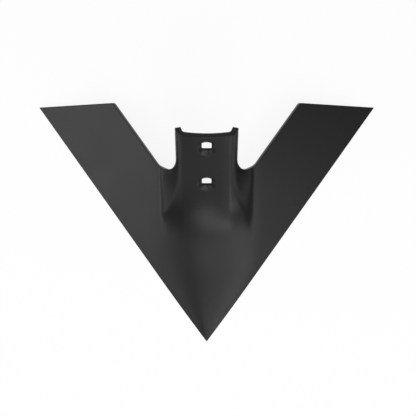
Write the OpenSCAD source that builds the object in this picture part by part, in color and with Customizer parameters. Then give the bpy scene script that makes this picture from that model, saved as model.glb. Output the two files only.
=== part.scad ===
// Cultivator sweep: one steel plate, hot pressed into two wings, a crowned nose
// and a channel-shaped stem, with two countersunk square holes for plow bolts.
// It stands on the flat ground under its cutting edges. The point faces -Y.

/* [Blade] */
// Overall width across the rear corners of the cutting edges
sweep_w = 380; // [350:1:420]
// Angle between the two cutting edges, seen from above
nose_angle = 71.2; // [68:0.1:75]
// How steeply each wing rises from its cutting edge
wing_lift = 21; // [18:0.5:24]
// Width of each wing, measured on the plate across its edges
wing_chord = 75.6; // [70:0.1:82]
// Half width of the rounded crown along the middle
crown_w = 61; // [52:1:68]
// Height of the blunt cutting edge above the ground
edge_t = 1; // [0.6:0.1:2]
// How far the point is ground back from the meeting of the straight edges
point_back = 2.4; // [1.5:0.1:4]

/* [Plate] */
// Thickness of the plate
plate_t = 6.4; // [5:0.1:8]

/* [Stem] */
// Angle between the stem and the ground
stem_angle = 50; // [46:0.5:53]
// Width of the stem over its two bent lips
stem_w = 64.8; // [60:0.2:70]
// Distance from the meeting of the edges to where the stem's face would reach the ground
stem_foot = 121.8; // [116:0.1:128]
// Length of the stem's face from there to its top end
stem_len = 144.1; // [136:0.1:154]
// Radius of the stem's slightly rounded front face
face_r = 123; // [100:1:200]
// Depth of the channel at its top, from the face to the lips' rear edges
lip_depth = 14.2; // [13:0.1:16]
// How far the lips lean outward from square
lip_draft = 17; // [13:0.5:21]
// Inside radius of the bend between the face and a lip
inner_r = 1.6; // [1:0.1:2.5]
// Half width of the face below the notches, where it starts to roll over into the flanks
shoulder_w = 24.5; // [20:0.1:27]
// Half width over the flanks, where they run out on the wings
flank_w = 50; // [47:0.1:56]

/* [Blends] */
// Softness of the bend from the nose up into the stem
bend_blend = 44; // [38:1:50]
// Radius of the notch between a wing and the stem, on the stem's side
notch_r = 6.7; // [5.5:0.1:8.5]
// Radius of the notch on the wing's side
notch_wing_r = 20.8; // [16:0.1:24]
// Rounding of the wings' inner rear corners
rear_r = 4; // [2:0.5:8]

/* [Bolt holes] */
// Side of the square holes
hole_side = 10; // [9:0.1:12]
// Diameter of the countersinks at the face
sink_d = 20.5; // [18:0.1:23]
// Included angle of the countersinks
sink_angle = 112; // [90:1:120]
// Distance between the two holes along the stem
hole_pitch = 50; // [42:0.5:52]
// Distance from the stem's top end to the upper hole
hole_top = 15; // [14:0.1:20]

/* [Hidden] */

// Plan and slopes of the blade
half_angle = nose_angle / 2;
edge_tan = tan(half_angle);
blade_len = sweep_w / 2 / edge_tan;
lift_tan = tan(wing_lift);
ridge_slope = sin(half_angle) * lift_tan;
side_slope = cos(half_angle) * lift_tan;
chord_x = wing_chord * cos(wing_lift) / cos(half_angle);
crown_spread = 0.7;
crown_ease = 20;
point_run = 70;
point_flat = 0.5;
tip_y = point_back + point_flat;
nose_share = 0.7;

// Stem section
stem_half = stem_w / 2;
stem_slope = tan(stem_angle);
stem_top = stem_foot + stem_len * cos(stem_angle);
wall_rise = 1 / tan(lip_draft);
corner_r = plate_t + inner_r;
corner_in = corner_r * tan(45 - lip_draft / 2);
corner_out = corner_in * sin(lip_draft);
corner_x = stem_half - (lip_depth - pow(stem_half, 2) / (2 * face_r)) / wall_rise;

// Notch, whose two arcs meet at its lowest point and touch the stem's side and the trailing edge
notch_x = stem_half + notch_r;
notch_low = (notch_x + chord_x + notch_wing_r / cos(half_angle)) / edge_tan - notch_wing_r;
notch_y = notch_low + notch_r;
lip_from = notch_low - 8;
lip_to = notch_low + 16;
lip_ease = 12;
foot_ease = 0.15;

// Steps of the plate's grid
nose_steps = 12;
nose_end = stem_foot - 14;
bend_step = 3.2;
arc_steps = 7;
top_steps = 8;
line_steps = 3;
rear_steps = 4;
face_steps = 4;
corner_steps = 7;
wall_steps = 5;
valley_steps = 7;
valley_w = 14;
valley_share = 0.4;
nose_crowding = 1.3;
face_share = 0.5;
limit_share = 0.97;
probe = 0.05;

// Origin: middle of the part's box, on the ground
rear_y = blade_len + plate_t * sin(wing_lift) * sin(half_angle);
mid_y = (tip_y + rear_y) / 2;
ground_cut = 30;

// Smooth joins: a round corner into the wall, a ramp with an eased start, a rounded maximum and a step
function corner_drop(u) = u <= -corner_in ? 0 : u >= corner_out ? wall_rise * u
    : corner_r - sqrt(pow(corner_r, 2) - pow(u + corner_in, 2));
function eased_ramp(u, c) = u <= -c ? 0 : u >= c ? u : pow(u + c, 2) / (4 * c);
function soft_max(a, b, r) = max(a, b) + pow(max(0, r - abs(a - b)), 3) / (6 * r * r);
function soft_step(t) = let (s = min(1, max(0, t))) s * s * (3 - 2 * s);

// Plan of the blade, with y measured back from the meeting of the edges
function edge_x(y) = edge_tan * (y - point_back * pow(max(0, 1 - y / point_run), 2));
function trailing_x(y) = edge_tan * y - chord_x;
function join_x(y) = min(notch_x, nose_share * edge_x(y));

// Height of the upper surface: two wings with a crown, and the stem's face rising from them. Its sides
// roll over into flanks below the notches, and are bent back into lips above them.
function crown_half(y) = -soft_max(-crown_w, -crown_spread * y, crown_ease);
function crowned(x, w) = x > w ? x : (x * x + w * w) / (2 * w);
function roof(x, y) = edge_t + ridge_slope * y - side_slope * crowned(abs(x), crown_half(y));
function face_drop(x) = (x * x / (2 * face_r) + corner_drop(abs(x) - corner_x)) / cos(stem_angle);
function face(x, y) = stem_slope * (y - stem_foot) - x * x / (2 * face_r * cos(stem_angle));
function rise(x, y) = soft_max(roof(x, y), face(x, y), bend_blend) - roof(x, y);
function over_shoulder(x) = max(0, abs(x) - shoulder_w) / (flank_w - shoulder_w);
function flank_share(x) = min(1, eased_ramp(1 - pow(over_shoulder(x), 2), foot_ease));
function lip(x, full) = eased_ramp(full - corner_drop(abs(x) - corner_x) / cos(stem_angle), lip_ease);
function sided(x, full, share) = full * flank_share(x) * (1 - share) + lip(x, full) * share;
function lip_share(y) = soft_step((y - lip_from) / (lip_to - lip_from));
function height(x, y) = roof(x, y) + sided(x, rise(x, y), lip_share(y));

// A point on the upper surface, and the point one plate thickness below it
function slope_x(x, y) = (height(x + probe, y) - height(x - probe, y)) / (2 * probe);
function slope_y(x, y) = (height(x, y + probe) - height(x, y - probe)) / (2 * probe);
function down(x, y) = [slope_x(x, y), slope_y(x, y), -1];
function upper(p) = [p[0], p[1], height(p[0], p[1])];
function lower(p) = upper(p) + plate_t * down(p[0], p[1]) / norm(down(p[0], p[1]));

// Columns across the stem, close together round its corners, and out from there to the cutting edge
function between(a, b, steps) = [for (i = [1:steps]) a + (b - a) * i / steps];
function half_row(limit) =
    let (out = min(corner_x + corner_out, limit_share * limit),
        in = out - min(corner_in + corner_out, face_share * out))
    concat(between(0, in, face_steps), between(in, out, corner_steps), between(out, limit, wall_steps));
function stem_row(limit) = concat(-reversed(half_row(limit)), [0], half_row(limit));
function valley_x(inner, y) = inner + min(valley_w, valley_share * (edge_x(y) - inner));
function wing_row(inner, y) = concat(
    [for (i = [0:valley_steps]) inner + (valley_x(inner, y) - inner) * i / valley_steps],
    [(valley_x(inner, y) + edge_x(y)) / 2, edge_x(y)]);
function reversed(list) = [for (i = [len(list) - 1:-1:0]) list[i]];

// Plan grids, as rows of points: nose and bend, stem, and wing behind the notch
bend_steps = ceil((notch_low - nose_end) / bend_step);
front_ys = concat(
    [for (i = [0:nose_steps]) tip_y + (nose_end - tip_y) * pow(i / nose_steps, nose_crowding)],
    [for (i = [1:bend_steps]) nose_end + (notch_low - nose_end) * i / bend_steps]);
function wing_outside(inner, y) = [for (i = [1:len(wing_row(inner, y)) - 1]) wing_row(inner, y)[i]];
function front_xs(y) = concat(-reversed(wing_outside(join_x(y), y)), stem_row(join_x(y)),
    wing_outside(join_x(y), y));
front_grid = [for (y = front_ys) [for (x = front_xs(y)) [x, y]]];

stem_arc = [for (i = [0:arc_steps])
    let (a = 90 * i / arc_steps)
    [notch_x - notch_r * sin(a), notch_y - notch_r * cos(a)]];
function fan_y(x, share) = notch_y + share * (stem_top - notch_y
    + face_drop(x) * sin(stem_angle) * cos(stem_angle));
stem_grid = concat(
    [for (p = stem_arc) [for (x = stem_row(p[0])) [x, p[1]]]],
    [for (i = [1:top_steps]) [for (x = stem_row(stem_half)) [x, fan_y(x, i / top_steps)]]]);

wing_arc = [for (i = [0:arc_steps])
    let (a = (90 - half_angle) * i / arc_steps)
    [notch_x + notch_wing_r * sin(a), notch_low + notch_wing_r * (1 - cos(a))]];
touch_y = wing_arc[arc_steps][1];
round_y = blade_len - rear_r;
round_x = trailing_x(round_y) + rear_r / cos(half_angle);
rear_arc = [for (i = [0:rear_steps])
    let (a = 180 - half_angle - (90 - half_angle) * i / rear_steps)
    [round_x + rear_r * cos(a), round_y + rear_r * sin(a)]];
wing_line = [for (y = between(touch_y, rear_arc[0][1], line_steps)) [trailing_x(y), y]];
wing_ends = concat(wing_arc, wing_line, [for (i = [1:rear_steps]) rear_arc[i]]);
wing_grid = [for (p = wing_ends) [for (x = wing_row(p[0], p[1])) [x, p[1]]]];
left_wing_grid = [for (row = wing_grid) [for (p = reversed(row)) [-p[0], p[1]]]];

// Closed skin over plan grids: upper and lower faces, and the open sides' edges
function grid_size(grid) = len(grid) * len(grid[0]);
function quad(a, b, c, d) = [[a, b, c], [a, c, d]];
function skin_faces(rows, cols, start, under) = [
    for (r = [0:rows - 2], c = [0:cols - 2])
        let (a = start + r * cols + c)
        each concat(quad(a, a + cols, a + cols + 1, a + 1),
            quad(a + under, a + 1 + under, a + cols + 1 + under, a + cols + under))];
function strip(path, under) = [for (i = [0:len(path) - 2])
    each quad(path[i], path[i + 1], path[i + 1] + under, path[i] + under)];

total = grid_size(front_grid) + grid_size(stem_grid) + 2 * grid_size(wing_grid);
front_start = 0;
stem_start = grid_size(front_grid);
right_start = stem_start + grid_size(stem_grid);
left_start = right_start + grid_size(wing_grid);
function row_path(start, cols, r) = [for (c = [0:cols - 1]) start + r * cols + c];
function col_path(start, cols, rows, c) = [for (r = [0:rows - 1]) start + r * cols + c];
front_cols = len(front_grid[0]);
wide_cols = len(stem_grid[0]);
wing_cols = len(wing_grid[0]);
rim_paths = [
    row_path(front_start, front_cols, 0),
    col_path(front_start, front_cols, len(front_grid), front_cols - 1),
    reversed(col_path(front_start, front_cols, len(front_grid), 0)),
    col_path(stem_start, wide_cols, len(stem_grid), wide_cols - 1),
    reversed(row_path(stem_start, wide_cols, len(stem_grid) - 1)),
    reversed(col_path(stem_start, wide_cols, len(stem_grid), 0)),
    col_path(right_start, wing_cols, len(wing_grid), wing_cols - 1),
    reversed(row_path(right_start, wing_cols, len(wing_grid) - 1)),
    reversed(col_path(right_start, wing_cols, len(wing_grid), 0)),
    col_path(left_start, wing_cols, len(wing_grid), wing_cols - 1),
    reversed(row_path(left_start, wing_cols, len(wing_grid) - 1)),
    reversed(col_path(left_start, wing_cols, len(wing_grid), 0))];

module pressed_plate() {
    grids = [front_grid, stem_grid, wing_grid, left_wing_grid];
    plan = [for (grid = grids, row = grid, p = row) p];
    polyhedron(
        points = concat([for (p = plan) upper(p)], [for (p = plan) lower(p)]),
        faces = concat(
            skin_faces(len(front_grid), front_cols, front_start, total),
            skin_faces(len(stem_grid), wide_cols, stem_start, total),
            skin_faces(len(wing_grid), wing_cols, right_start, total),
            skin_faces(len(wing_grid), wing_cols, left_start, total),
            [for (path = rim_paths) each strip(path, total)]));
}

// Countersunk square hole through the stem, square to its face
module bolt_hole(from_top) {
    along = stem_len - from_top;
    sink_tan = tan(sink_angle / 2);
    above = 3;
    below = 3 * plate_t;
    cone_depth = (sink_d - hole_side) / 2 / sink_tan;
    cone_d = sink_d + 2 * above * sink_tan;
    translate([0, stem_foot + along * cos(stem_angle), along * sin(stem_angle)])
        rotate([stem_angle, 0, 0]) {
            translate([0, 0, -cone_depth])
                cylinder(d1 = hole_side, d2 = cone_d, h = cone_depth + above, $fn = 64);
            translate([-hole_side / 2, -hole_side / 2, -below])
                cube([hole_side, hole_side, below + above]);
        }
}

module sweep() {
    color([0.1, 0.1, 0.11])
        translate([0, -mid_y, 0])
            difference() {
                pressed_plate();
                translate([-sweep_w, -sweep_w, -ground_cut])
                    cube([2 * sweep_w, 3 * sweep_w, ground_cut]);
                bolt_hole(hole_top);
                bolt_hole(hole_top + hole_pitch);
            }
}

sweep();
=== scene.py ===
# %% [markdown]
# # A cultivator sweep
#
# A sweep is the steel foot of a field cultivator. It runs flat under the soil, cuts the roots of weeds
# with its two wings, and is bolted to a spring shank by its stem. It is one plate, cut to an outline,
# heated and pressed, so this lesson goes the same way: a flat blank, one press, two bolt holes, paint.
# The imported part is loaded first, because the finished plate has to lie in its frame and keep its size.

import math

import bmesh
import bpy
import numpy as np
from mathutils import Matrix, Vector
from mathutils.geometry import delaunay_2d_cdt


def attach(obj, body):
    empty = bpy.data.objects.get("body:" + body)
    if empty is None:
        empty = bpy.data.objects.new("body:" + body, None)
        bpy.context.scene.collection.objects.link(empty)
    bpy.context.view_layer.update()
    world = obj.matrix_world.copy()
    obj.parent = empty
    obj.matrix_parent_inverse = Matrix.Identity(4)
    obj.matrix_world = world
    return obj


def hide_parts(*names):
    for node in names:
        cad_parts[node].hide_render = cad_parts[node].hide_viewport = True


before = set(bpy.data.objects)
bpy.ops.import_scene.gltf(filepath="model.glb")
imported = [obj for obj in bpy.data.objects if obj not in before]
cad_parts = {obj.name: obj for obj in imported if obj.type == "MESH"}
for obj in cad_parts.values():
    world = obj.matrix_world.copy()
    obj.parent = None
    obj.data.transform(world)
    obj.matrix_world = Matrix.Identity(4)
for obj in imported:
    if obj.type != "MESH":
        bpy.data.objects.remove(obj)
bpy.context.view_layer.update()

# %% [markdown]
# ## The camera
#
# The photograph looks down on the sweep, four degrees forward of straight above, through a long lens.
# The camera comes first, because it decides how fine the mesh has to be: at this distance a pixel is
# about one millimetre. The lens shift places the sweep a little left of the middle.

# %% Camera
MM = 0.001
IMAGE_SIDE = 416
FOCAL_PIXELS = 826.0
CAMERA_DISTANCE = 930 * MM
CAMERA_HEIGHT_ANGLE = math.radians(86)
AIM = Vector((0, 16.5 * MM, 0))
SENSOR_WIDTH = 36.0
SHIFT_PIXELS = 1.35

camera_data = bpy.data.cameras.new("camera")
camera_data.sensor_width = SENSOR_WIDTH
camera_data.lens = SENSOR_WIDTH * FOCAL_PIXELS / IMAGE_SIDE
camera_data.shift_x = SHIFT_PIXELS / IMAGE_SIDE
camera = bpy.data.objects.new("camera", camera_data)
bpy.context.scene.collection.objects.link(camera)
away = Vector((0, -math.cos(CAMERA_HEIGHT_ANGLE), math.sin(CAMERA_HEIGHT_ANGLE)))
camera.location = AIM + away * CAMERA_DISTANCE
camera.rotation_euler = (-away).to_track_quat("-Z", "Y").to_euler()
bpy.context.scene.camera = camera
print("lens", round(camera_data.lens, 2), "mm, camera at", [round(v, 4) for v in camera.location])

# %% [markdown]
# ## Sums written as nodes
#
# Both the press and the paint are node trees, and a formula made of separate Math nodes is hard to
# read. The class below wraps a socket, so that a formula can be written as plain Python and each sign
# in it adds its node. The same formula also works on plain numbers, which the blank needs.

# %% Node helpers
class Graph:
    """A node tree with one method that adds any node."""

    def __init__(self, tree):
        self.tree = tree

    def node(self, kind, settings=None, inputs=None):
        """Add a node: its settings first, then the values or links of its sockets, by name or place."""
        made = self.tree.nodes.new(kind)
        for name, value in (settings or {}).items():
            setattr(made, name, value)
        for key, value in (inputs or {}).items():
            if isinstance(value, (list, tuple)) and value and isinstance(value[0], Value):
                for item in value:
                    self.tree.links.new(item.socket, made.inputs[key])
            elif isinstance(value, Value):
                self.tree.links.new(value.socket, made.inputs[key])
            else:
                made.inputs[key].default_value = value
        return made

    def value(self, kind, settings=None, inputs=None, output=0):
        """Add a node and give one of its outputs as a value."""
        return Value(self, self.node(kind, settings, inputs).outputs[output])


class Value:
    """A socket of a graph. Signs between values add Math nodes."""

    def __init__(self, graph, socket):
        self.graph, self.socket = graph, socket

    def sum(self, operation, *terms):
        return self.graph.value("ShaderNodeMath", {"operation": operation}, dict(enumerate(terms)))

    def __add__(self, other):
        return self.sum("ADD", self, other)

    def __radd__(self, other):
        return self.sum("ADD", other, self)

    def __sub__(self, other):
        return self.sum("SUBTRACT", self, other)

    def __rsub__(self, other):
        return self.sum("SUBTRACT", other, self)

    def __mul__(self, other):
        return self.sum("MULTIPLY", self, other)

    def __rmul__(self, other):
        return self.sum("MULTIPLY", other, self)

    def __truediv__(self, other):
        return self.sum("DIVIDE", self, other)

    def __rtruediv__(self, other):
        return self.sum("DIVIDE", other, self)

    def __neg__(self):
        return self.sum("MULTIPLY", self, -1.0)


def either(operation, plain, *terms):
    """The same step on values of a tree or on plain numbers."""
    for term in terms:
        if isinstance(term, Value):
            return term.sum(operation, *terms)
    return plain(*terms)


def larger(a, b):
    return either("MAXIMUM", np.maximum, a, b)


def smaller(a, b):
    return either("MINIMUM", np.minimum, a, b)


def size_of(a):
    return either("ABSOLUTE", np.abs, a)


def root(a):
    return either("SQRT", np.sqrt, a)


def sine(a):
    return either("SINE", np.sin, a)


def cosine(a):
    return either("COSINE", np.cos, a)


def tangent(a):
    return either("TANGENT", np.tan, a)


print("helpers ready: signs between values add Math nodes")

# %% [markdown]
# ## Sizes
#
# These are the sizes of the real plate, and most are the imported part's own. Only the flanks beside the
# stem are drawn more sharply here, with a bend line, a shoulder that flares and a wall outside it. The
# first group shapes the press tool, so its sizes become named inputs of the press tree below. The second
# group shapes the outline of the blank and the holes.

# %% Sizes of the plate
PRESS = {
    "Nose Angle": math.radians(71.2),
    "Wing Lift": math.radians(21),
    "Crown Half Width": 61 * MM,
    "Crown Ease": 20 * MM,
    "Edge Height": 1 * MM,
    "Plate Thickness": 6.4 * MM,
    "Stem Angle": math.radians(50),
    "Stem Width": 64.8 * MM,
    "Stem Foot": 121.8 * MM,
    "Face Radius": 123 * MM,
    "Lip Depth": 14.2 * MM,
    "Lip Draft": math.radians(17),
    "Inner Bend": 1.6 * MM,
    "Lip Ease": 12 * MM,
    "Bend Half Width": 26 * MM,
    "Bend Share": 0.02 / MM,
    "Bend Round": 1.5 * MM,
    "Shoulder Half Width": 29.5 * MM,
    "Flare Radius": 64 * MM,
    "Shoulder Limit": 44 * MM,
    "Shoulder Round": 3.2 * MM,
    "Flank Half Width": 50 * MM,
    "Foot Round": 2.5 * MM,
    "Bend Blend": 44 * MM,
}
CROWN_SPREAD = 0.7
SWEEP_W = 380 * MM
WING_CHORD = 75.6 * MM
POINT_BACK = 2.4 * MM
POINT_RUN = 70 * MM
POINT_FLAT = 0.5 * MM
STEM_LEN = 144.1 * MM
NOTCH_R = 6.7 * MM
NOTCH_WING_R = 20.8 * MM
REAR_R = 4 * MM
LIP_BEFORE = 8 * MM
LIP_AFTER = 16 * MM
FLARE_BEFORE = 3 * MM
HOLE_SIDE = 10 * MM
SINK_D = 20.5 * MM
SINK_ANGLE = math.radians(112)
HOLE_PITCH = 50 * MM
HOLE_TOP = 15 * MM

HALF_ANGLE = PRESS["Nose Angle"] / 2
EDGE_TAN = math.tan(HALF_ANGLE)
BLADE_LEN = SWEEP_W / 2 / EDGE_TAN
CHORD_X = WING_CHORD * math.cos(PRESS["Wing Lift"]) / math.cos(HALF_ANGLE)
STEM_HALF = PRESS["Stem Width"] / 2
STEM_COS, STEM_SIN = math.cos(PRESS["Stem Angle"]), math.sin(PRESS["Stem Angle"])
STEM_TOP = PRESS["Stem Foot"] + STEM_LEN * STEM_COS
NOTCH_X = STEM_HALF + NOTCH_R
NOTCH_LOW = (NOTCH_X + CHORD_X + NOTCH_WING_R / math.cos(HALF_ANGLE)) / EDGE_TAN - NOTCH_WING_R
NOTCH_Y = NOTCH_LOW + NOTCH_R
PRESS["Lip From"] = NOTCH_LOW - LIP_BEFORE
PRESS["Lip To"] = NOTCH_LOW + LIP_AFTER
PRESS["Flare From"] = NOTCH_LOW - FLARE_BEFORE
TIP_Y = POINT_BACK + POINT_FLAT
REAR_Y = BLADE_LEN + PRESS["Plate Thickness"] * math.sin(PRESS["Wing Lift"]) * math.sin(HALF_ANGLE)
MID_Y = (TIP_Y + REAR_Y) / 2
PRESS["Middle"] = MID_Y
print("blade", round(BLADE_LEN / MM, 1), "mm long, notch", round(NOTCH_LOW / MM, 1), "mm behind the point")

# %% [markdown]
# ## The rule of the press
#
# Seen from above, every place of the plate has one height, so the press is a rule from a place to a
# height. The blade is two planes that rise from the cutting edges, with a crown over their ridge. The
# stem is a slightly round face that leans back. Where the two meet, a rounded maximum blends them, and
# the softer it is, the wider the bend. Below the notches each side of the stem becomes a flank: past a
# bend line the face falls away a little, a shoulder that flares towards the foot ends it, and a wall
# drops from there to the wing. Above the notches the sides are bent back into lips. A sculpted mesh
# could look the same, but the rule keeps the sizes and gives the slope at every place.

# %% Height rule
def rounded_max(a, b, soft):
    over = larger(soft - size_of(a - b), 0.0)
    return larger(a, b) + over * over * over / (6 * soft * soft)


def eased_ramp(u, ease):
    start = smaller(larger(u + ease, 0.0), 2 * ease)
    return start * start / (4 * ease) + larger(u - ease, 0.0)


def soft_step(t):
    s = smaller(larger(t, 0.0), 1.0)
    return s * s * (3 - 2 * s)


def lip_drop(x, s):
    """How far a lip lies behind the stem's face, square to it: a round bend and then a straight wall."""
    half = s["Stem Width"] * 0.5
    rise = 1.0 / tangent(s["Lip Draft"])
    corner = half - (s["Lip Depth"] - half * half / (2 * s["Face Radius"])) / rise
    radius = s["Plate Thickness"] + s["Inner Bend"]
    inner = radius * tangent(math.pi / 4 - s["Lip Draft"] * 0.5)
    outer = inner * sine(s["Lip Draft"])
    u = size_of(x) - corner
    turn = smaller(larger(u + inner, 0.0), inner + outer)
    return radius - root(radius * radius - turn * turn) + rise * larger(u - outer, 0.0)


def blade_height(x, y, s):
    half_angle = s["Nose Angle"] * 0.5
    side = size_of(x)
    crown = -rounded_max(-s["Crown Half Width"], -CROWN_SPREAD * y, s["Crown Ease"])
    under = smaller(side, crown)
    spread = (under * under + crown * crown) / (2 * crown) + larger(side - crown, 0.0)
    return s["Edge Height"] + tangent(s["Wing Lift"]) * (sine(half_angle) * y - cosine(half_angle) * spread)


def face_height(x, y, s):
    crowned = x * x / (2 * s["Face Radius"] * cosine(s["Stem Angle"]))
    return tangent(s["Stem Angle"]) * (y - s["Stem Foot"]) - crowned


def height(x, y, s):
    """Height of the upper surface at a place, with y measured back from the meeting of the edges."""
    blade = blade_height(x, y, s)
    full = rounded_max(blade, face_height(x, y, s), s["Bend Blend"]) - blade
    below = larger(s["Flare From"] - y, 0.0)
    flared = s["Shoulder Half Width"] + below * below / (2 * s["Flare Radius"])
    shoulder = smaller(flared, s["Shoulder Limit"])
    wall_run = s["Flank Half Width"] - shoulder
    from_foot = s["Flank Half Width"] - size_of(x)
    wall = eased_ramp(from_foot, s["Foot Round"]) - eased_ramp(from_foot - wall_run, s["Shoulder Round"])
    bend = 1 - s["Bend Share"] * eased_ramp(size_of(x) - s["Bend Half Width"], s["Bend Round"])
    flank = full * bend * wall / wall_run
    lip = eased_ramp(full - lip_drop(x, s) / cosine(s["Stem Angle"]), s["Lip Ease"])
    share = soft_step((y - s["Lip From"]) / (s["Lip To"] - s["Lip From"]))
    return blade + flank * (1 - share) + lip * share


PROBE = 0.1 * MM


def surface(x, y, s):
    """Height and the slopes along X and Y, from places a tenth of a millimetre to each side."""
    along_x = (height(x + PROBE, y, s) - height(x - PROBE, y, s)) / (2 * PROBE)
    along_y = (height(x, y + PROBE, s) - height(x, y - PROBE, s)) / (2 * PROBE)
    return height(x, y, s), along_x, along_y


print("height of the stem's end", round(float(height(0.0, STEM_TOP, PRESS)) / MM, 2), "mm")

# %% [markdown]
# ## The outline of the blank
#
# The blank is cut before it is pressed: two straight cutting edges with a slightly blunt point, the
# rear ends of the wings, a notch of two radii beside the stem, and the stem's end, which is square to
# the stem and so curves when it is seen from above. Points are spaced by their distance on the pressed
# plate, because a lip that is nearly upright shows almost no width in the plan.

# %% Outline
EDGE_STEP = 2.0 * MM


def edge_x(y):
    return EDGE_TAN * (y - POINT_BACK * np.maximum(0, 1 - y / POINT_RUN) ** 2)


def arc(centre, radius, start, stop, count=60):
    turn = np.linspace(start, stop, count)
    return np.column_stack((centre[0] + radius * np.cos(turn), centre[1] + radius * np.sin(turn)))


def on_plate(points):
    """Points of the plan, lifted to the pressed surface."""
    return np.column_stack((points, height(points[:, 0], points[:, 1], PRESS)))


def spaced(points, step):
    """The same line with even steps on the pressed plate, and without its last point."""
    lengths = np.linalg.norm(np.diff(on_plate(points), axis=0), axis=1)
    along = np.concatenate(([0.0], np.cumsum(lengths)))
    places = np.linspace(0, along[-1], max(2, round(along[-1] / step)) + 1)[:-1]
    return np.column_stack([np.interp(places, along, points[:, i]) for i in (0, 1)])


def straight(a, b, count=200):
    return np.linspace(np.array(a), np.array(b), count)


edge_ys = np.linspace(TIP_Y, BLADE_LEN, 400)
cutting_edge = np.column_stack((edge_x(edge_ys), edge_ys))
round_y = BLADE_LEN - REAR_R
round_x = EDGE_TAN * round_y - CHORD_X + REAR_R / math.cos(HALF_ANGLE)
rear_arc = arc((round_x, round_y), REAR_R, math.pi / 2, math.pi - HALF_ANGLE)
wing_arc = arc((NOTCH_X, NOTCH_LOW + NOTCH_WING_R), NOTCH_WING_R, -HALF_ANGLE, -math.pi / 2)
stem_arc = arc((NOTCH_X, NOTCH_Y), NOTCH_R, -math.pi / 2, -math.pi)
end_xs = np.linspace(STEM_HALF, 0, 400)
end_drop = end_xs * end_xs / (2 * PRESS["Face Radius"]) + lip_drop(end_xs, PRESS)
stem_end = np.column_stack((end_xs, STEM_TOP + end_drop * STEM_SIN))
right_side = [
    straight((0, TIP_Y), cutting_edge[0], 3),
    cutting_edge,
    straight((SWEEP_W / 2, BLADE_LEN), rear_arc[0]),
    rear_arc,
    straight(rear_arc[-1], wing_arc[0]),
    wing_arc,
    stem_arc,
    straight(stem_arc[-1], stem_end[0]),
    stem_end,
]
STEPS = [1.0 * MM, EDGE_STEP, EDGE_STEP, 0.8 * MM, EDGE_STEP, 1.2 * MM, 1.0 * MM, 1.2 * MM, 0.8 * MM]
CUTTING_LINES = 2
right_points = [spaced(line, step) for line, step in zip(right_side, STEPS)]
is_edge = np.concatenate([np.full(len(line), i < CUTTING_LINES) for i, line in enumerate(right_points)])
right_points = np.concatenate(right_points)
mirrored = right_points[:0:-1] * (-1, 1)
outline = np.concatenate((right_points, stem_end[-1:], mirrored))
on_edge = np.concatenate((is_edge, [False], is_edge[:0:-1]))
print("outline of", len(outline), "points")

# %% [markdown]
# ## The flat blank
#
# A cut edge of painted plate is never razor sharp, and a small round is what catches the light. So the
# blank gets three more lines just inside its outline, whose distance to the rim is kept as an attribute
# for the press. Two rings leave room for the bolt holes, and a line marks where the underside will be
# ground flat.

# %% Lines of the blank
RIM_ROUND = 0.7 * MM
EDGE_ROUND = 0.3 * MM
RIM_SHARES = (0.0, 0.134, 0.5, 1.0)
RING_R = 13 * MM
RING_POINTS = 96
MITRE_LIMIT = 0.35
LAND_FROM = 40 * MM
LAND_STEP = 2 * MM
HALVINGS = 40
turns = np.linspace(0, 2 * math.pi, RING_POINTS, endpoint=False)


def inward(points):
    """Inward directions at the corners of a closed line, longer where it turns."""
    ahead = np.roll(points, -1, axis=0) - points
    ahead /= np.linalg.norm(ahead, axis=1)[:, None]
    left = np.column_stack((-ahead[:, 1], ahead[:, 0]))
    both = left + np.roll(left, 1, axis=0)
    both /= np.linalg.norm(both, axis=1)[:, None]
    return both / np.maximum(MITRE_LIMIT, np.sum(both * left, axis=1))[:, None]


def hole_ring(place):
    """The ring round a bolt hole, as a circle on the stem's round face, seen in the plan."""
    along = STEM_LEN - HOLE_TOP - place * HOLE_PITCH
    u, v = RING_R * np.cos(turns), RING_R * np.sin(turns)
    back = PRESS["Stem Foot"] + (along + v) * STEM_COS + u * u / (2 * PRESS["Face Radius"]) * STEM_SIN
    return np.column_stack((u, back))


def inside(points, line):
    """Which points lie inside a closed line."""
    found = np.zeros(len(points), bool)
    for a, b in zip(line, np.roll(line, -1, axis=0)):
        crosses = (a[1] > points[:, 1]) != (b[1] > points[:, 1])
        if a[1] != b[1]:
            found ^= crosses & (points[:, 0] < (b[0] - a[0]) * (points[:, 1] - a[1]) / (b[1] - a[1]) + a[0])
    return found


def distance(points, line):
    """How far each point lies from a line of short steps."""
    least = np.full(len(points), np.inf)
    for p in line:
        least = np.minimum(least, np.hypot(points[:, 0] - p[0], points[:, 1] - p[1]))
    return least


rim_round = np.where(on_edge, EDGE_ROUND, RIM_ROUND)
rim_in = inward(outline)
slopes = surface(outline[:, 0], outline[:, 1], PRESS)
steepness = np.sqrt(1 + (slopes[1] * rim_in[:, 0] + slopes[2] * rim_in[:, 1]) ** 2)
rings = [outline + rim_in * (share * rim_round / steepness)[:, None] for share in RIM_SHARES]
hole_rings = [hole_ring(0), hole_ring(1)]

land_ys = np.arange(LAND_FROM / MM, BLADE_LEN / MM - 1, LAND_STEP / MM) * MM
low, high = np.zeros(len(land_ys)), edge_x(land_ys)
for _ in range(HALVINGS):
    middle = (low + high) / 2
    h, hx, hy = surface(middle, land_ys, PRESS)
    thick = h * np.sqrt(1 + hx * hx + hy * hy) > PRESS["Plate Thickness"]
    low, high = np.where(thick, middle, low), np.where(thick, high, middle)
land_line = np.column_stack((low, land_ys))[low > 1 * MM]
land_line = np.concatenate((land_line[::-1] * (-1, 1), land_line))

print("blank of", len(rings), "rim lines and a ground land of", len(land_line), "points")

# %% [markdown]
# ## Filling the blank
#
# Points on three grids fill the space between these lines: a fine one at the stem, where the plate bends
# sharply, a middling one round it and a wide one on the flat wings. A Delaunay fill joins them all to
# triangles, and those in the holes or outside the outline are dropped.

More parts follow.
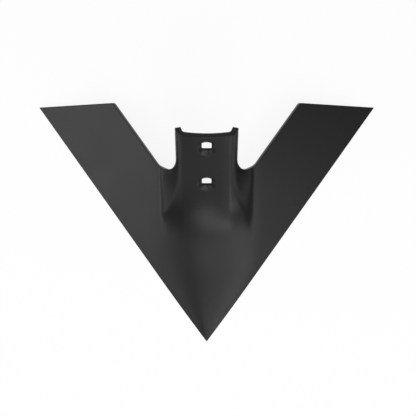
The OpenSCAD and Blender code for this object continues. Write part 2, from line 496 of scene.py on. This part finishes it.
# %% Fill of the blank
# Each zone: its reach to the sides, its start behind the point, and its steps across and along, in mm.
STEM_ZONE = (55, 92, 1.0, 1.5)
BEND_ZONE = (84, 60, 2.2, 2.4)
WING_ZONE = (190, 0, 3.6, 3.6)
GAP_SHARE = 0.55
FAR_INSIDE = 1.0
WHOLE_HULL = 0
SAME_POINT = 1e-5

lattice = []
for x_reach, y_from, dx, dy in (STEM_ZONE, BEND_ZONE, WING_ZONE):
    xs = np.arange(-math.floor(x_reach / dx), math.floor(x_reach / dx) + 1) * dx * MM
    ys = np.arange(y_from, BLADE_LEN / MM, dy) * MM
    points = np.array(np.meshgrid(xs, ys)).reshape(2, -1).T
    if lattice:
        points = points[(np.abs(points[:, 0]) > last_reach[0] * MM) | (points[:, 1] < last_reach[1] * MM)]
    points = points[inside(points, rings[-1])]
    gap = GAP_SHARE * dx * MM
    points = points[distance(points, rings[-1]) > gap]
    points = points[distance(points, land_line) > gap]
    for ring in hole_rings:
        points = points[~inside(points, ring) & (distance(points, ring) > gap)]
    lattice.append(points)
    last_reach = (x_reach, y_from)

loops = [*rings, *hole_rings]
plan = np.concatenate((*loops, land_line, *lattice))
inset = np.concatenate([rim_round * share for share in RIM_SHARES])
rim_count = len(inset)
others = len(plan) - rim_count
inset = np.concatenate((inset, np.full(others, FAR_INSIDE)))
rounds = np.concatenate((np.tile(rim_round, len(rings)), np.full(others, RIM_ROUND)))
at_hole = np.zeros(len(plan))
at_hole[rim_count:rim_count + 2 * RING_POINTS] = 1.0
starts = np.cumsum([0, *map(len, loops)])
ties = [(a + i, a + (i + 1) % (b - a)) for a, b in zip(starts[:-1], starts[1:]) for i in range(b - a)]
ties += [(starts[-1] + i, starts[-1] + i + 1) for i in range(len(land_line) - 1)]

corners, _, triangles, sources, _, _ = delaunay_2d_cdt(
    [Vector(p / MM) for p in plan], ties, [], WHOLE_HULL, SAME_POINT)
corners = np.array(corners) * MM
source = np.array([s[0] if s else -1 for s in sources])
inset_at = np.where(source < 0, distance(corners, outline), inset[source])
triangles = np.array(triangles)
middles = corners[triangles].mean(axis=1)
on_blank = inside(middles, outline)
for ring in hole_rings:
    on_blank &= ~inside(middles, ring)
triangles = triangles[on_blank]
print("blank of", len(corners), "points and", len(triangles), "triangles")

# %% [markdown]
# ## The blank as a mesh
#
# The triangles become a mesh that carries what the press has to know of each point: its place in the
# plan, its distance to the rim, how round that rim is, and whether it lies at a bolt hole. Pairs of
# triangles are joined to quads, which shade more evenly on a bent plate.

# %% Blank as a mesh
blank_mesh = bpy.data.meshes.new("blank")
blank_mesh.from_pydata([(x, y, 0.0) for x, y in corners], [], triangles.tolist())
for name, values in (("inset", inset_at), ("rim_round", rounds[source]), ("at_hole", at_hole[source])):
    blank_mesh.attributes.new(name, "FLOAT", "POINT").data.foreach_set("value", values)
flat = np.column_stack((corners, np.zeros(len(corners))))
blank_mesh.attributes.new("plan", "FLOAT_VECTOR", "POINT").data.foreach_set("vector", flat.ravel())
shape = bmesh.new()
shape.from_mesh(blank_mesh)
bmesh.ops.join_triangles(shape, faces=shape.faces[:], angle_face_threshold=0.1, angle_shape_threshold=0.9)
shape.to_mesh(blank_mesh)
shape.free()
blank = bpy.data.objects.new("blank", blank_mesh)
bpy.context.scene.collection.objects.link(blank)
print("blank of", len(blank_mesh.polygons), "faces")

# %% [markdown]
# ## The bolt hole
#
# A plow bolt has a flat countersunk head over a square neck, so each hole is a cone above a square. It
# is made once, as rings of points from the face, down the cone, through the neck and out over the rear
# side, with its edges a little round from the paint. A Boolean would cut the same hole, but it leaves
# thin faces that spoil a smooth reflection. The outer rings match those that the blank left open.

# %% Rings of the bolt hole
RIM_SOFT = 0.45 * MM
NECK_SOFT = 0.3 * MM
REAR_SOFT = 0.5 * MM
NECK_CORNER = 0.8 * MM
RIM_PASSES = 20


def square_reach(half, corner):
    """Distance from the middle of a square with round corners to its side, in each direction."""
    c, s = np.abs(np.cos(turns)), np.abs(np.sin(turns))
    flat_reach = half / np.maximum(c, s)
    inner = half - corner
    along = inner * (c + s)
    round_reach = along + np.sqrt(np.maximum(along * along - 2 * inner * inner + corner * corner, 0))
    at_corner = np.minimum(c, s) * flat_reach > inner
    return np.where(at_corner, round_reach, flat_reach)


def hole_rings_local():
    """Rings of (distance from the axis, height over the face's middle line), from the face to the rear."""
    c = np.cos(turns)
    face_r, thick = PRESS["Face Radius"], PRESS["Plate Thickness"]
    cone_tan = math.tan(SINK_ANGLE / 2)

    def face(reach):
        return reach, -(reach * c) ** 2 / (2 * face_r)

    def cone(reach):
        return reach, -(SINK_D / 2 - reach) / cone_tan

    def rear(reach):
        u = reach * c / (1 - thick / face_r)
        return reach, -u * u / (2 * face_r) - thick / np.sqrt(1 + (u / face_r) ** 2)

    def bend(a, corner, b):
        return tuple(0.25 * p + 0.5 * q + 0.25 * r for p, q, r in zip(a, corner, b))

    def half_way(a, b):
        return tuple((p + q) / 2 for p, q in zip(a, b))

    rim = np.full(RING_POINTS, SINK_D / 2)
    for _ in range(RIM_PASSES):
        rim = SINK_D / 2 - cone_tan * (rim * c) ** 2 / (2 * face_r)
    neck = square_reach(HOLE_SIDE / 2, NECK_CORNER)
    outer = face(np.full(RING_POINTS, RING_R))
    rim_top, rim_in = face(rim + RIM_SOFT), cone(rim - RIM_SOFT)
    neck_top = cone(neck + NECK_SOFT)
    neck_in = (neck, cone(neck)[1] - NECK_SOFT)
    neck_out = (neck, rear(neck)[1] + REAR_SOFT)
    rear_in = rear(neck + REAR_SOFT)
    u = RING_R * c
    tilt = np.sqrt(1 + (u / face_r) ** 2)
    rear_outer = (RING_R, -u * u / (2 * face_r) - thick / tilt, 1 - thick / (face_r * tilt))
    return [
        outer, half_way(outer, rim_top), rim_top, bend(rim_top, face(rim), rim_in), rim_in,
        half_way(rim_in, neck_top), neck_top, bend(neck_top, cone(neck), neck_in), neck_in,
        half_way(neck_in, neck_out), neck_out, bend(neck_out, rear(neck), rear_in), rear_in,
        half_way(rear_in, rear(np.full(RING_POINTS, RING_R))), rear_outer,
    ]


hole_profile = hole_rings_local()
print("bolt hole of", len(hole_profile), "rings with", RING_POINTS, "points each")

# %% [markdown]
# ## The bolt hole as a mesh
#
# Each ring is joined to the next by four-sided faces. The first and last rings are marked for the weld
# with the plate, and every point keeps its place across and along the stem, which the press needs to
# set the hole on the bend.

# %% Bolt hole as a mesh
hole_points = []
for reach, rise, *squeeze in hole_profile:
    across = reach * np.cos(turns) * (squeeze[0] if squeeze else 1.0)
    hole_points.append(np.column_stack((across, reach * np.sin(turns), rise)))
ring_count = len(hole_points)
hole_faces = []
for ring in range(ring_count - 1):
    for i in range(RING_POINTS):
        a, b = ring * RING_POINTS + i, ring * RING_POINTS + (i + 1) % RING_POINTS
        hole_faces.append((a, a + RING_POINTS, b + RING_POINTS, b))
hole_mesh = bpy.data.meshes.new("bolt_hole")
hole_mesh.from_pydata(np.concatenate(hole_points).tolist(), [], hole_faces)
seam = np.zeros(ring_count * RING_POINTS)
seam[:RING_POINTS] = seam[-RING_POINTS:] = 1.0
rear_ring = np.zeros(len(seam))
rear_ring[-RING_POINTS:] = 1.0
for name, values in (("at_hole", seam), ("rear_ring", rear_ring), ("inset", np.ones(len(seam)))):
    hole_mesh.attributes.new(name, "FLOAT", "POINT").data.foreach_set("value", values)
hole_places = np.concatenate([np.column_stack((p[:, :2], np.zeros(len(p)))) for p in hole_points[:-1]])
hole_places = np.concatenate((hole_places, hole_places[:RING_POINTS]))
hole_place = hole_mesh.attributes.new("hole_place", "FLOAT_VECTOR", "POINT")
hole_place.data.foreach_set("vector", hole_places.ravel())
bolt_hole = bpy.data.objects.new("bolt_hole", hole_mesh)
bpy.context.scene.collection.objects.link(bolt_hole)
print("bolt hole of", len(hole_mesh.polygons), "faces")

# %% [markdown]
# ## The press
#
# Geometry Nodes do the pressing, because the plate follows one rule. Every size is a named input of the
# tree, so the same press could lean the stem further or bend the plate more softly. The blank is the
# tree's geometry, and the bolt hole is an object that it sets in place.

# %% Inputs of the press
press_tree = bpy.data.node_groups.new("press", "GeometryNodeTree")
press_tree.interface.new_socket("Blank", in_out="INPUT", socket_type="NodeSocketGeometry")
press_tree.interface.new_socket("Plate", in_out="OUTPUT", socket_type="NodeSocketGeometry")
inputs = {name: ("NodeSocketFloat", value) for name, value in PRESS.items()}
inputs["Upper Hole"] = ("NodeSocketFloat", STEM_LEN - HOLE_TOP)
inputs["Hole Pitch"] = ("NodeSocketFloat", HOLE_PITCH)
inputs["Bolt Hole"] = ("NodeSocketObject", bolt_hole)
socket_names = {}
for name, (kind, value) in inputs.items():
    socket = press_tree.interface.new_socket(name, in_out="INPUT", socket_type=kind)
    socket_names[name] = socket.identifier

press = Graph(press_tree)
entry = press.node("NodeGroupInput")
given = {name: Value(press, entry.outputs[name]) for name in ["Blank", *inputs]}
print("press with", len(inputs), "named inputs")

# %% [markdown]
# ## The plate in the press
#
# The tree moves each point of the blank to the height that the rule gives. A copy goes one plate
# thickness down along the surface's own direction, but never below the ground, which is how the bevel
# under the cutting edges is ground. The rim is extruded between the two and welded to the copy.

# %% Plate in the press
WELD = 0.005 * MM


def carried(name, kind):
    """An attribute that the blank carries."""
    return press.value("GeometryNodeInputNamedAttribute", {"data_type": kind}, {"Name": name})


place = press.node("ShaderNodeSeparateXYZ", inputs={0: carried("plan", "FLOAT_VECTOR")})
plan_x, plan_y = Value(press, place.outputs[0]), Value(press, place.outputs[1])
level, slope_x, slope_y = surface(plan_x, plan_y, given)
steep = root(1 + slope_x * slope_x + slope_y * slope_y)
rim = carried("rim_round", "FLOAT")
short = larger(rim - carried("inset", "FLOAT"), 0.0)
rounded = rim - root(rim * rim - short * short)


def at_depth(depth):
    """The point at a depth under the upper surface, square to it."""
    share = depth / steep
    return press.value("ShaderNodeCombineXYZ", inputs={
        0: plan_x + share * slope_x, 1: plan_y + share * slope_y - given["Middle"], 2: level - share})


top_points = at_depth(rounded)
under_points = at_depth(smaller(given["Plate Thickness"], level * steep) - rounded)
top = press.value("GeometryNodeSetPosition", inputs={"Geometry": given["Blank"], "Position": top_points})
faces_beside = press.value("GeometryNodeInputMeshEdgeNeighbors")
open_edge = smaller(2.0 - faces_beside, 1.0 - carried("at_hole", "FLOAT"))
rim_wall = press.node("GeometryNodeExtrudeMesh", {"mode": "EDGES"},
                      {"Mesh": top, "Selection": open_edge, "Offset Scale": 0.0})
walled = press.value("GeometryNodeSetPosition", inputs={
    "Geometry": Value(press, rim_wall.outputs["Mesh"]), "Selection": Value(press, rim_wall.outputs["Top"]),
    "Position": under_points})
under = press.value("GeometryNodeSetPosition", inputs={
    "Geometry": given["Blank"], "Position": under_points})
under = press.value("GeometryNodeFlipFaces", inputs={"Mesh": under})
plate = press.value("GeometryNodeJoinGeometry", inputs={0: [walled, under]})
plate = press.value("GeometryNodeMergeByDistance", inputs={"Geometry": plate, "Distance": WELD})
print("plate made by", len(press_tree.nodes), "nodes")

# %% [markdown]
# ## The holes in the press
#
# The two bolts sit one above the other, so the hole is set twice on a line that runs along the stem and
# is tilted as the stem is. Each copy keeps how far behind the point it sits.

# %% Holes in the press
stem_back, stem_up = cosine(given["Stem Angle"]), sine(given["Stem Angle"])
first_hole = press.value("ShaderNodeCombineXYZ", inputs={
    1: given["Stem Foot"] + given["Upper Hole"] * stem_back - given["Middle"],
    2: given["Upper Hole"] * stem_up})
next_hole = press.value("ShaderNodeCombineXYZ", inputs={
    1: -(given["Hole Pitch"] * stem_back), 2: -(given["Hole Pitch"] * stem_up)})
hole_line = press.value("GeometryNodeMeshLine", {"mode": "OFFSET"},
                        {"Count": 2, "Start Location": first_hole, "Offset": next_hole})
hole_along = given["Upper Hole"] - given["Hole Pitch"] * press.value("GeometryNodeInputIndex")
hole_line = press.value("GeometryNodeStoreNamedAttribute", {"data_type": "FLOAT", "domain": "POINT"}, {
    "Geometry": hole_line, "Name": "hole_back", "Value": given["Stem Foot"] + hole_along * stem_back})
tilt = press.value("ShaderNodeCombineXYZ", inputs={0: given["Stem Angle"]})
hole_shape = press.node("GeometryNodeObjectInfo", inputs={"Object": given["Bolt Hole"]})
holes = press.value("GeometryNodeInstanceOnPoints", inputs={
    "Points": hole_line, "Instance": Value(press, hole_shape.outputs["Geometry"]),
    "Rotation": press.value("FunctionNodeEulerToRotation", inputs={0: tilt})})
holes = press.value("GeometryNodeRealizeInstances", inputs={"Geometry": holes})
print("holes set", round(HOLE_PITCH / MM, 1), "mm apart")

# %% [markdown]
# ## Fitting the holes to the bend
#
# The lower hole sits where the stem's face already runs into the bend, so the plate is a little higher
# there than a straight stem would be. The holes are lifted by that difference, and their last rings go
# to the rear side of the plate. Then holes and plate are welded, and the whole gets its paint.

# %% Fit the holes to the bend
HOLE_WELD = 0.2 * MM
local = press.node("ShaderNodeSeparateXYZ", inputs={0: carried("hole_place", "FLOAT_VECTOR")})
across, along = Value(press, local.outputs[0]), Value(press, local.outputs[1])
set_back = across * across * stem_up / (2 * given["Face Radius"])
hole_y = carried("hole_back", "FLOAT") + along * stem_back + set_back
hole_plan = press.value("ShaderNodeCombineXYZ", inputs={0: across, 1: hole_y})
holes = press.value("GeometryNodeStoreNamedAttribute", {"data_type": "FLOAT_VECTOR", "domain": "POINT"}, {
    "Geometry": holes, "Name": "plan", "Value": hole_plan})
bend_lift = level - face_height(plan_x, plan_y, given)
holes = press.value("GeometryNodeSetPosition", inputs={
    "Geometry": holes, "Offset": press.value("ShaderNodeCombineXYZ", inputs={2: bend_lift})})
holes = press.value("GeometryNodeSetPosition", inputs={
    "Geometry": holes, "Selection": carried("rear_ring", "FLOAT"), "Position": under_points})
whole = press.value("GeometryNodeJoinGeometry", inputs={0: [plate, holes]})
whole = press.value("GeometryNodeRealizeInstances", inputs={"Geometry": whole})
whole = press.value("GeometryNodeMergeByDistance", inputs={
    "Geometry": whole, "Selection": carried("at_hole", "FLOAT") - 0.5, "Distance": HOLE_WELD})
paint = bpy.data.materials.new("black_paint")
whole = press.value("GeometryNodeSetMaterial", inputs={"Geometry": whole, "Material": paint})
press.node("NodeGroupOutput", inputs={"Plate": whole})
print("press tree of", len(press_tree.nodes), "nodes")

# %% [markdown]
# ## Pressing
#
# The tree runs once and its result becomes a plain mesh. The blank and the loose hole are removed then.
# The faces are turned outward and smoothed, apart from the border of the ground bevel, which stays a
# sharp line as it does on the real edge.

# %% Press the blank
LAND_CREASE = math.radians(12)
GROUND_CLOSE = 0.01 * MM
CM3 = 1e-6
pressing = blank.modifiers.new("press", "NODES")
pressing.node_group = press_tree
for name, (_, value) in inputs.items():
    pressing[socket_names[name]] = value
bpy.context.view_layer.update()
pressed = blank.evaluated_get(bpy.context.evaluated_depsgraph_get())
sweep_mesh = bpy.data.meshes.new_from_object(pressed)
for helper in (blank, bolt_hole):
    bpy.data.objects.remove(helper)

shape = bmesh.new()
shape.from_mesh(sweep_mesh)
bmesh.ops.recalc_face_normals(shape, faces=shape.faces[:])
open_edges = [e for e in shape.edges if not e.is_manifold]
for face in shape.faces:
    face.smooth = True
for edge in shape.edges:
    if edge.is_manifold and edge.calc_face_angle(0) > LAND_CREASE:
        ground = [max(v.co.z for v in face.verts) < GROUND_CLOSE for face in edge.link_faces]
        edge.smooth = ground[0] == ground[1]
volume = shape.calc_volume()
shape.to_mesh(sweep_mesh)
shape.free()
print("pressed", len(sweep_mesh.polygons), "faces with", len(open_edges), "open edges")
print("volume", round(volume / CM3, 1), "cm3")

# %% [markdown]
# ## Clean shading
#
# A round rim is narrow and the wing beside it is wide and flat. If both counted the same, the rim would
# bend the light far into the wing. Weighted normals let the large faces decide, so the wings stay flat
# in the reflection and only the rim turns. The result is kept in the mesh as its own normals.

# %% Weighted normals
sweep = bpy.data.objects.new("sweep_plate", sweep_mesh)
bpy.context.scene.collection.objects.link(sweep)
weighting = sweep.modifiers.new("weighting", "WEIGHTED_NORMAL")
weighting.mode = "FACE_AREA"
weighting.keep_sharp = True
bpy.context.view_layer.update()
weighted = bpy.data.meshes.new_from_object(sweep.evaluated_get(bpy.context.evaluated_depsgraph_get()))
sweep.modifiers.clear()
sweep.data = weighted
bpy.data.meshes.remove(sweep_mesh)
print("own normals:", weighted.has_custom_normals)

# %% [markdown]
# ## Black paint
#
# New sweeps are dipped or sprayed black to keep them from rusting in the shop. The coat is thin and a
# little uneven: a fine orange peel, patches that are slightly duller, and edges where the paint has
# drawn back. It is one shader with a dark colour and a middling roughness, and noise varies it.

# %% Paint
PAINT_COLOUR = (0.0055, 0.0055, 0.0057, 1)
THIN_COLOUR = (0.011, 0.011, 0.0113, 1)
THIN_LEAST = 0.35
THIN_SPREAD = 0.5
DULLNESS = 0.29
PATCH_DULLNESS = 0.08
SPECK_DULLNESS = 0.04
PEEL_STRENGTH = 0.12
PEEL_DEPTH = 0.05 * MM
SHEEN = 0.22
paint.use_nodes = True
paint.node_tree.nodes.clear()
coat = Graph(paint.node_tree)
where = coat.value("ShaderNodeTexCoord", output="Object")
patches = coat.value("ShaderNodeTexNoise", inputs={"Vector": where, "Scale": 22.0, "Detail": 4.0})
peel = coat.value("ShaderNodeTexNoise", inputs={"Vector": where, "Scale": 700.0, "Detail": 2.0})
specks = coat.value("ShaderNodeTexNoise", inputs={"Vector": where, "Scale": 2600.0, "Detail": 1.0})
inset_here = coat.value("ShaderNodeAttribute", {"attribute_name": "inset"}, output="Fac")
thin = larger(1 - inset_here / RIM_ROUND, 0.0) * (THIN_LEAST + THIN_SPREAD * patches)
colour = coat.value("ShaderNodeMix", {"data_type": "RGBA"},
                    {"Factor": thin, 6: PAINT_COLOUR, 7: THIN_COLOUR}, output=2)
dull = DULLNESS + PATCH_DULLNESS * patches + SPECK_DULLNESS * specks
relief = coat.value("ShaderNodeBump", inputs={
    "Strength": PEEL_STRENGTH, "Distance": PEEL_DEPTH, "Height": peel})
gloss = coat.value("ShaderNodeBsdfPrincipled", inputs={
    "Base Color": colour, "Roughness": dull, "Normal": relief, "Specular IOR Level": SHEEN})
coat.node("ShaderNodeOutputMaterial", inputs={"Surface": gloss})
print("paint of", len(paint.node_tree.nodes), "nodes")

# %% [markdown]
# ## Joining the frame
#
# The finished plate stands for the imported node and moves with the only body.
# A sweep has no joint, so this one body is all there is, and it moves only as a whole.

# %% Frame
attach(sweep, "root")
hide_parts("sweep")
print("sweep of", len(sweep.data.polygons), "faces rides on root")

# %% [markdown]
# ## The studio
#
# The photograph has a white background. The floor is a pale plane that shows itself white to the camera
# and in reflections. A tenth of its own shading is left in, which keeps a faint shadow. So the white
# comes from the floor and not from more light on the sweep.

# %% Floor
FLOOR_SIDE = 12.0
FLOOR_DROP = 0.2 * MM
WHITE_SHARE = 0.9
FLOOR_COLOUR = (0.82, 0.82, 0.82, 1)
floor_mesh = bpy.data.meshes.new("floor")
far = FLOOR_SIDE / 2
floor_corners = [(x * far, y * far, -FLOOR_DROP) for x, y in ((-1, -1), (1, -1), (1, 1), (-1, 1))]
floor_mesh.from_pydata(floor_corners, [], [(0, 1, 2, 3)])
floor = bpy.data.objects.new("floor", floor_mesh)
bpy.context.scene.collection.objects.link(floor)
floor_paint = bpy.data.materials.new("floor_white")
floor_paint.use_nodes = True
floor_paint.node_tree.nodes.clear()
ground_coat = Graph(floor_paint.node_tree)
rays = ground_coat.node("ShaderNodeLightPath")
seen = Value(ground_coat, rays.outputs["Is Camera Ray"])
seen = larger(seen, Value(ground_coat, rays.outputs["Is Glossy Ray"]))
seen = larger(seen, Value(ground_coat, rays.outputs["Is Transmission Ray"]))
matt = ground_coat.value("ShaderNodeBsdfDiffuse", inputs={"Color": FLOOR_COLOUR})
glow = ground_coat.value("ShaderNodeEmission", inputs={"Color": (1, 1, 1, 1), "Strength": 1.0})
mixed = ground_coat.value("ShaderNodeMixShader", inputs={0: seen * WHITE_SHARE, 1: matt, 2: glow})
ground_coat.node("ShaderNodeOutputMaterial", inputs={"Surface": mixed})
floor_mesh.materials.append(floor_paint)
print("floor", FLOOR_SIDE, "m wide")

# %% [markdown]
# ## The lights
#
# The photographed sweep lies in soft light without a hard shadow. A fan of round lamps, from the left
# over the front to the right, gives that, and none stands behind. Those on the left keep the left wing
# evenly bright. The strong ones on the right stand high or well forward, so the right wing gets darker
# towards its end. Those in front light the nose and the bend of the stem. Together with a weak room
# light they make a white card look white.

# %% Lights
WORLD_LIGHT = 0.3
world = bpy.data.worlds.new("studio")
world.use_nodes = True
world.node_tree.nodes.clear()
sky = Graph(world.node_tree)
room = sky.value("ShaderNodeBackground", inputs={"Color": (1, 1, 1, 1), "Strength": WORLD_LIGHT})
sky.node("ShaderNodeOutputWorld", inputs={"Surface": room})
bpy.context.scene.world = world

LAMP_DISTANCE = 2.0
LAMP_WIDTH = 0.634
LAMP_AIM = Vector((0, 0, 20 * MM))


def round_lamp(name, to_right, up, power):
    """A round soft lamp, placed by its turn from the front to the right and its rise over the floor."""
    turn, rise = math.radians(to_right), math.radians(up)
    data = bpy.data.lights.new(name, "AREA")
    data.shape = "DISK"
    data.size = LAMP_WIDTH
    data.energy = power
    lamp = bpy.data.objects.new(name, data)
    toward = Vector((math.cos(rise) * math.sin(turn), -math.cos(rise) * math.cos(turn), math.sin(rise)))
    lamp.location = LAMP_AIM + toward * LAMP_DISTANCE
    lamp.rotation_euler = (-toward).to_track_quat("-Z", "Y").to_euler()
    bpy.context.scene.collection.objects.link(lamp)
    return lamp


lamps = [
    round_lamp("left_low", -90, 6, 5.5),
    round_lamp("left_side", -90, 38, 5),
    round_lamp("left_high", -77, 52, 4),
    round_lamp("left_main", -68, 38, 4.5),
    round_lamp("left_front", -51, 52, 2.5),
    round_lamp("front_low", 0, 22, 5),
    round_lamp("front", 0, 38, 3.5),
    round_lamp("top_front", 0, 66, 4),
    round_lamp("front_right_high", 22, 38, 6.5),
    round_lamp("front_floor", 30, 6, 6),
    round_lamp("right_high", 36, 66, 3),
    round_lamp("right_main", 51, 52, 6.5),
    round_lamp("right_side", 68, 38, 1),
]
print(len(lamps), "lamps")

# %% [markdown]
# ## Finishing
#
# The plain view transform shows colours as they are written.

# %% Finish
bpy.context.scene.view_settings.view_transform = "Standard"
